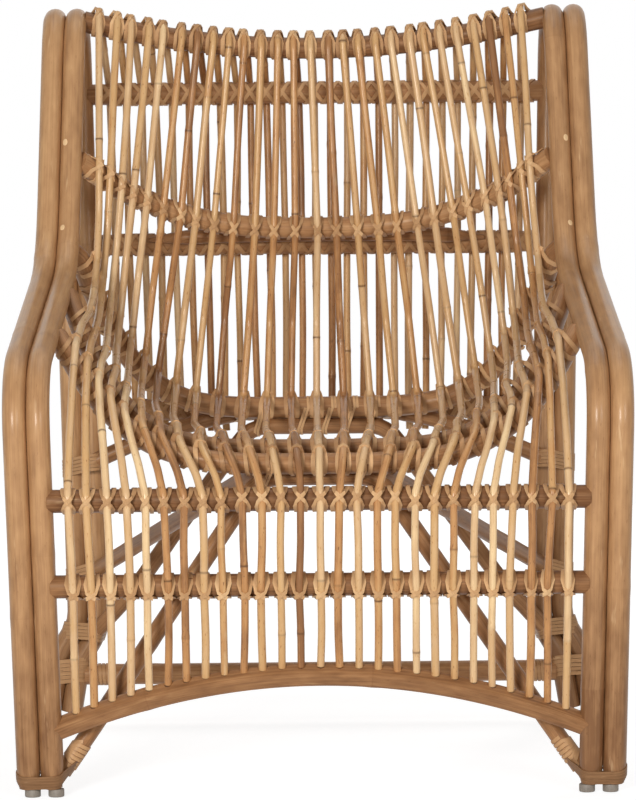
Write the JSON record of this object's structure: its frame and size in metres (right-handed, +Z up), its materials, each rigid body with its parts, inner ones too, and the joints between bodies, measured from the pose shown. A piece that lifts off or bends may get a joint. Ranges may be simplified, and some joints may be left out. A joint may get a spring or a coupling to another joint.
{
  "type": "rattan slat lounge armchair",
  "caption": "Low rattan armchair with doubled bent-pole sides and one shell of round canes that runs over apron, seat and back",
  "frame": {"origin": "on the floor, under the middle of the chair's box", "axes": "+Z up, the sitter faces -Y, +X toward the sitter's left hand"},
  "size_m": [0.703, 0.6568, 0.8866],
  "materials": {
    "pole": "satin",
    "rail": "satin",
    "cane": "satin",
    "peel": "matte",
    "glide": "matte"
  },
  "bodies": {
    "root": {"left_outer_pole": "pole", "left_inner_pole": "pole", "right_outer_pole": "pole", "right_inner_pole": "pole", "top_rail": "rail", "upper_back_hoop": "rail", "lower_back_hoop": "rail", "seat_hoop": "rail", "front_edge_hoop": "rail", "front_upper_rail": "rail", "front_lower_rail": "rail", "front_arch_rail": "rail", "upper_rear_rail": "rail", "middle_rear_rail": "rail", "lower_rear_rail": "rail", "rear_stretcher": "rail", "front_arch_brace": "rail", "rear_arch_brace": "rail", "seat_brace": "rail", "lumbar_bow": "rail", "spacer_bow": "rail", "cane_01": "cane", "cane_02": "cane", "cane_03": "cane", "cane_04": "cane", "cane_05": "cane", "cane_06": "cane", "cane_07": "cane", "cane_08": "cane", "cane_09": "cane", "cane_10": "cane", "cane_11": "cane", "cane_12": "cane", "cane_13": "cane", "cane_14": "cane", "cane_15": "cane", "cane_16": "cane", "cane_17": "cane", "cane_18": "cane", "cane_19": "cane", "cane_20": "cane", "cane_21": "cane", "cane_22": "cane", "cane_23": "cane", "cane_24": "cane", "cane_25": "cane", "cane_26": "cane", "cane_27": "cane", "front_left_foot_binding": "peel", "front_right_foot_binding": "peel", "rear_left_foot_binding": "peel", "rear_right_foot_binding": "peel", "front_left_outer_glide": "glide", "front_left_inner_glide": "glide", "front_right_outer_glide": "glide", "front_right_inner_glide": "glide", "rear_left_outer_glide": "glide", "rear_left_inner_glide": "glide", "rear_right_outer_glide": "glide", "rear_right_inner_glide": "glide"}
  },
  "joints": []
}
